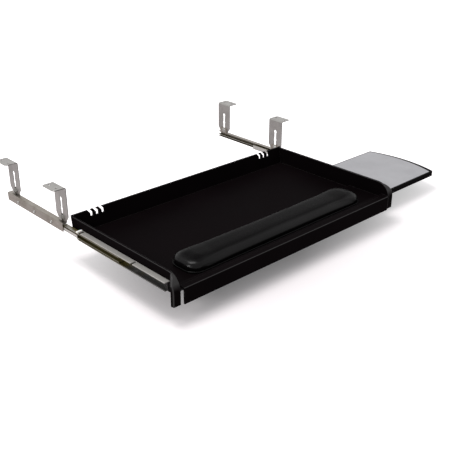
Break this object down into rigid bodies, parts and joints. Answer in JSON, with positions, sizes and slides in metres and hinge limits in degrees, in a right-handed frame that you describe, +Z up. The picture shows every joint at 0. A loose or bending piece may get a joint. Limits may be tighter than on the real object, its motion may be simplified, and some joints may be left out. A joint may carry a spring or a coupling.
{
  "type": "keyboard tray under desk",
  "caption": "Pull-out keyboard tray that hangs under a desk on telescopic ball-bearing slides, with cable notches, a padded wrist rest and a mouse platform sliding out of its side.",
  "frame": {"origin": "centre of the rectangle of desk screws, on the underside of the desk, where the brackets' flanges meet it", "axes": "+Z up into the desk, +X to the user's right along the tray, -Y towards the user, the way the tray pulls out"},
  "size_m": [0.827, 0.5251, 0.1105],
  "materials": {
    "tray_plastic": "fine moulded grain, satin",
    "platform_plastic": "fine moulded grain, satin",
    "base_plastic": "plain moulded",
    "pad_cover": "satin leatherette over gel",
    "surface_plastic": "fine matt texture",
    "slide_steel": "bright zinc, drawn along its length",
    "retainer_steel": "plain zinc",
    "ball_steel": "polished",
    "hanger_steel": "yellowish zinc",
    "bracket_steel": "dull zinc",
    "runner_steel": "black powder coat",
    "screw_steel": "zinc",
    "nylon": "natural nylon"
  },
  "bodies": {
    "hanger": {"left_fixed_rail": "slide_steel", "right_fixed_rail": "slide_steel", "left_hanger_rail": "hanger_steel", "right_hanger_rail": "hanger_steel", "left_front_bracket": "bracket_steel", "left_rear_bracket": "bracket_steel", "right_front_bracket": "bracket_steel", "right_rear_bracket": "bracket_steel", "height_bolts": "screw_steel", "height_nuts": "screw_steel"},
    "middle_rails": {"left_middle_rail": "slide_steel", "right_middle_rail": "slide_steel"},
    "outer_races": {"left_outer_retainer": "retainer_steel", "right_outer_retainer": "retainer_steel", "outer_balls": "ball_steel"},
    "inner_races": {"left_inner_retainer": "retainer_steel", "right_inner_retainer": "retainer_steel", "inner_balls": "ball_steel"},
    "tray": {"tray_shell": "tray_plastic", "front_fascia": "tray_plastic", "wrist_rest_base": "base_plastic", "wrist_rest": "pad_cover", "left_tray_rail": "slide_steel", "right_tray_rail": "slide_steel", "rail_bumpers": "nylon", "rail_mouth_guides": "nylon", "platform_front_runner": "runner_steel", "platform_rear_runner": "runner_steel", "platform_stop": "tray_plastic"},
    "platform": {"mouse_platform": "platform_plastic", "mouse_surface": "surface_plastic", "platform_catch": "platform_plastic"}
  },
  "joints": [
    {"name": "tray_slide", "type": "slide", "parent": "hanger", "child": "tray", "axis": [0, -1, 0], "range_m": [-0.241, 0]},
    {"name": "middle_slide", "type": "slide", "parent": "hanger", "child": "middle_rails", "axis": [0, -1, 0], "range_m": [-0.1205, 0]},
    {"name": "outer_race_slide", "type": "slide", "parent": "hanger", "child": "outer_races", "axis": [0, -1, 0], "range_m": [-0.18075, 0]},
    {"name": "inner_race_slide", "type": "slide", "parent": "hanger", "child": "inner_races", "axis": [0, -1, 0], "range_m": [-0.06025, 0]},
    {"name": "platform_slide", "type": "slide", "parent": "tray", "child": "platform", "axis": [1, 0, 0], "range_m": [-0.226, 0]}
  ],
  "couplings": [
    {"joint": "middle_slide", "follows": "tray_slide", "ratio": 0.5},
    {"joint": "outer_race_slide", "follows": "tray_slide", "ratio": 0.75},
    {"joint": "inner_race_slide", "follows": "tray_slide", "ratio": 0.25}
  ]
}
